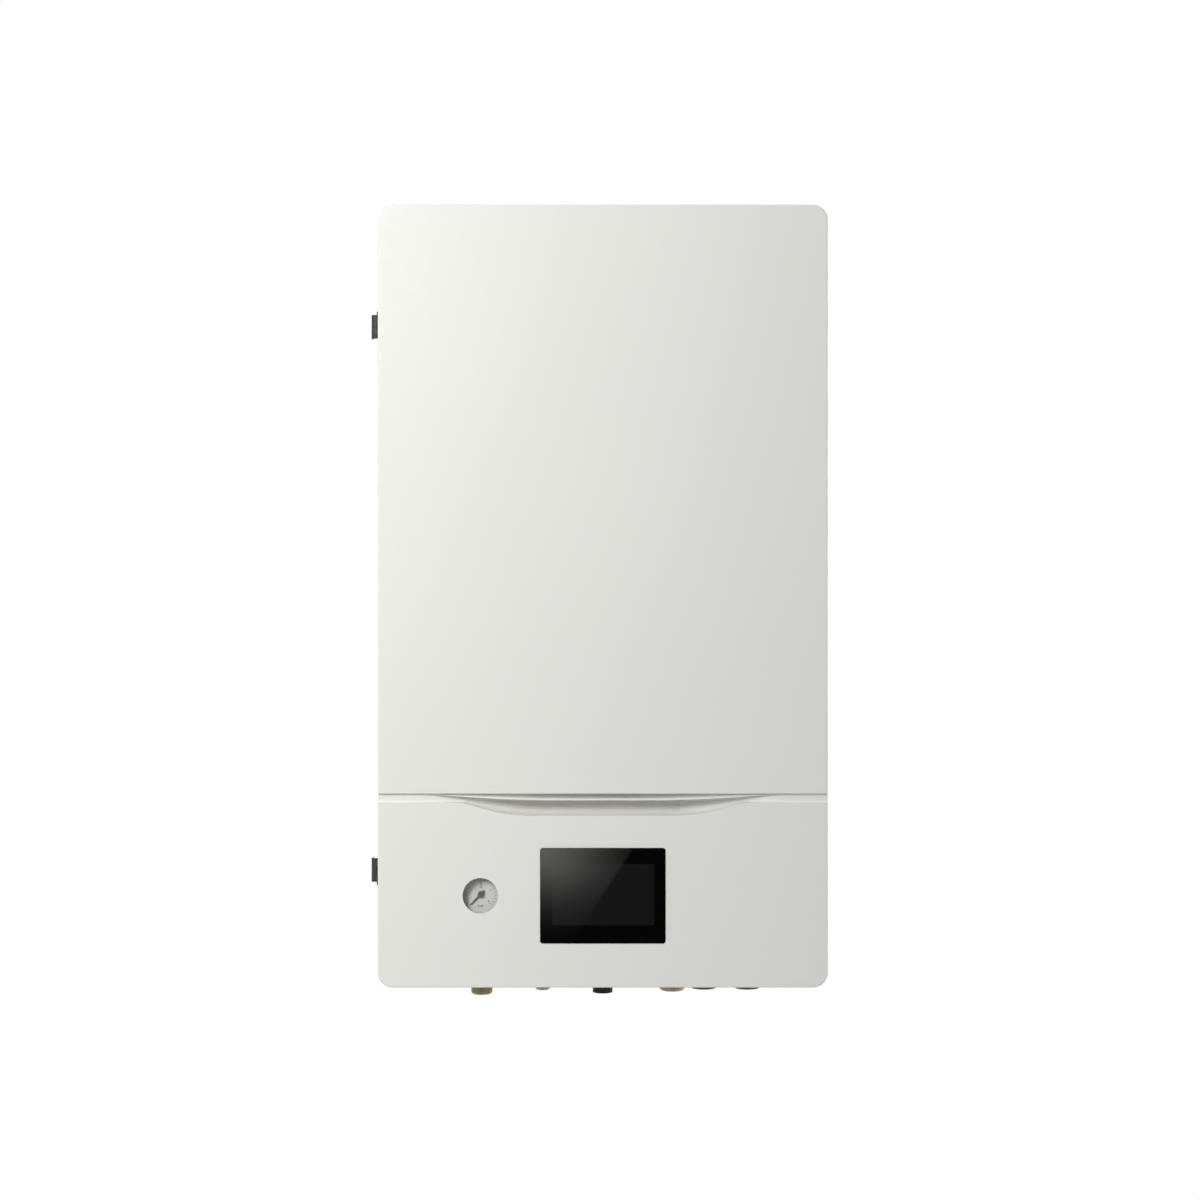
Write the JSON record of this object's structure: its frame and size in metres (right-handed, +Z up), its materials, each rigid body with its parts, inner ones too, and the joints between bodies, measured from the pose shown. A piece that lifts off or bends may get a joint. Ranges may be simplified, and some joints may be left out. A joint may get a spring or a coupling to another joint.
{
  "type": "heat pump",
  "caption": "Wall-hung indoor unit of a split heat pump: white box with a hinged front door, touch screen, gauge, plate exchanger, pump, heater and pipes.",
  "frame": {"origin": "middle of the two wall bolts, on the wall's surface behind the unit", "axes": "+X to the right of somebody facing the unit, +Y into the wall, +Z up"},
  "size_m": [0.4611, 0.2808, 0.8122],
  "materials": {
    "white_steel": "smooth satin white powder coat",
    "white_moulding": "fine satin white moulding",
    "galvanised_sheet": "dull galvanised sheet",
    "hinge_black": "black, slightly glossy",
    "bright_steel": "bright zinc",
    "seal_foam": "closed-cell foam",
    "magnet_dark": "dark ferrite",
    "board_green": "lacquered circuit board",
    "terminal_grey": "moulded terminals",
    "vessel_red": "gloss red paint",
    "stainless": "pickled stainless steel",
    "element_black": "heat-resistant black plastic",
    "pump_cast": "dark coated casting",
    "pump_head": "dark moulded plastic",
    "rotor_steel": "turned steel and plastic",
    "brass": "machined brass",
    "nickel_plate": "nickel plate",
    "copper": "drawn copper",
    "knob_red": "red moulded plastic",
    "dial_white": "printed pale dial",
    "needle_black": "black paint",
    "crystal": "clear plastic window",
    "gland_grey": "dark grey nylon",
    "drain_black": "black moulded plastic",
    "screen_black": "black glossy cover glass",
    "screen_body": "black moulded plastic"
  },
  "bodies": {
    "cabinet": {"wall_rail": "galvanised_sheet", "back_panel": "galvanised_sheet", "side_panel_left": "white_steel", "side_panel_right": "white_steel", "top_panel": "white_steel", "bottom_panel": "white_steel", "casing_screws": "bright_steel", "hinge_upper_case_leaf": "hinge_black", "hinge_lower_case_leaf": "hinge_black", "hinge_pins": "bright_steel", "door_seal": "seal_foam", "door_magnets": "magnet_dark", "control_box_tray": "galvanised_sheet", "control_box_cover": "galvanised_sheet", "main_board": "board_green", "terminal_block": "terminal_grey", "expansion_vessel": "vessel_red", "vessel_cradle": "galvanised_sheet", "plate_heat_exchanger": "stainless", "heater_vessel": "stainless", "heater_element_head": "element_black", "thermal_cutout": "element_black", "pump_housing": "pump_cast", "pump_motor": "pump_head", "inlet_strainer": "brass", "flow_sensor": "pump_head", "relief_valve": "brass", "air_vent": "brass", "gauge_case": "screen_body", "gauge_dial": "dial_white", "gauge_crystal": "crystal", "gauge_bracket": "galvanised_sheet", "gauge_tube": "copper", "pipe_return": "stainless", "pipe_pump_outlet": "stainless", "pipe_exchanger_outlet": "stainless", "pipe_flow": "stainless", "pipe_gas": "copper", "pipe_liquid": "copper", "vessel_tube": "copper", "discharge_tube": "copper", "drain_funnel": "drain_black", "water_outlet": "brass", "gas_union": "brass", "liquid_union": "nickel_plate", "cable_gland_power": "gland_grey", "cable_gland_signal": "gland_grey", "union_nuts": "brass"},
    "door": {"upper_panel": "white_steel", "lower_panel": "white_moulding", "door_frame": "galvanised_sheet", "pull_lip": "white_moulding", "display_housing": "screen_body", "display_glass": "screen_black", "hinge_upper_door_leaf": "hinge_black", "hinge_lower_door_leaf": "hinge_black"},
    "gauge_needle": {"gauge_needle": "needle_black"},
    "relief_knob": {"relief_knob": "knob_red"},
    "pump_rotor": {"pump_rotor": "rotor_steel"},
    "reset_button": {"reset_button": "knob_red"}
  },
  "joints": [
    {"name": "door_swing", "type": "hinge", "parent": "cabinet", "child": "door", "pos_m": [-0.23, -0.246, -0.31875], "axis": [0, 0, -1], "range_deg": [0, 120]},
    {"name": "gauge_turn", "type": "hinge", "parent": "cabinet", "child": "gauge_needle", "pos_m": [-0.1224, -0.2695, -0.616], "axis": [0, 1, 0], "range_deg": [0, 270]},
    {"name": "relief_turn", "type": "hinge", "parent": "cabinet", "child": "relief_knob", "pos_m": [-0.02, -0.18, -0.28], "axis": [0, -1, 0], "range_deg": [0, 90]},
    {"name": "pump_spin", "type": "hinge", "parent": "cabinet", "child": "pump_rotor", "pos_m": [0.0736, -0.174, -0.47], "axis": [0, 1, 0], "continuous": true},
    {"name": "reset_press", "type": "slide", "parent": "cabinet", "child": "reset_button", "axis": [0, 1, 0], "range_m": [0, 0.0015], "stiffness_N_per_m": 200}
  ]
}
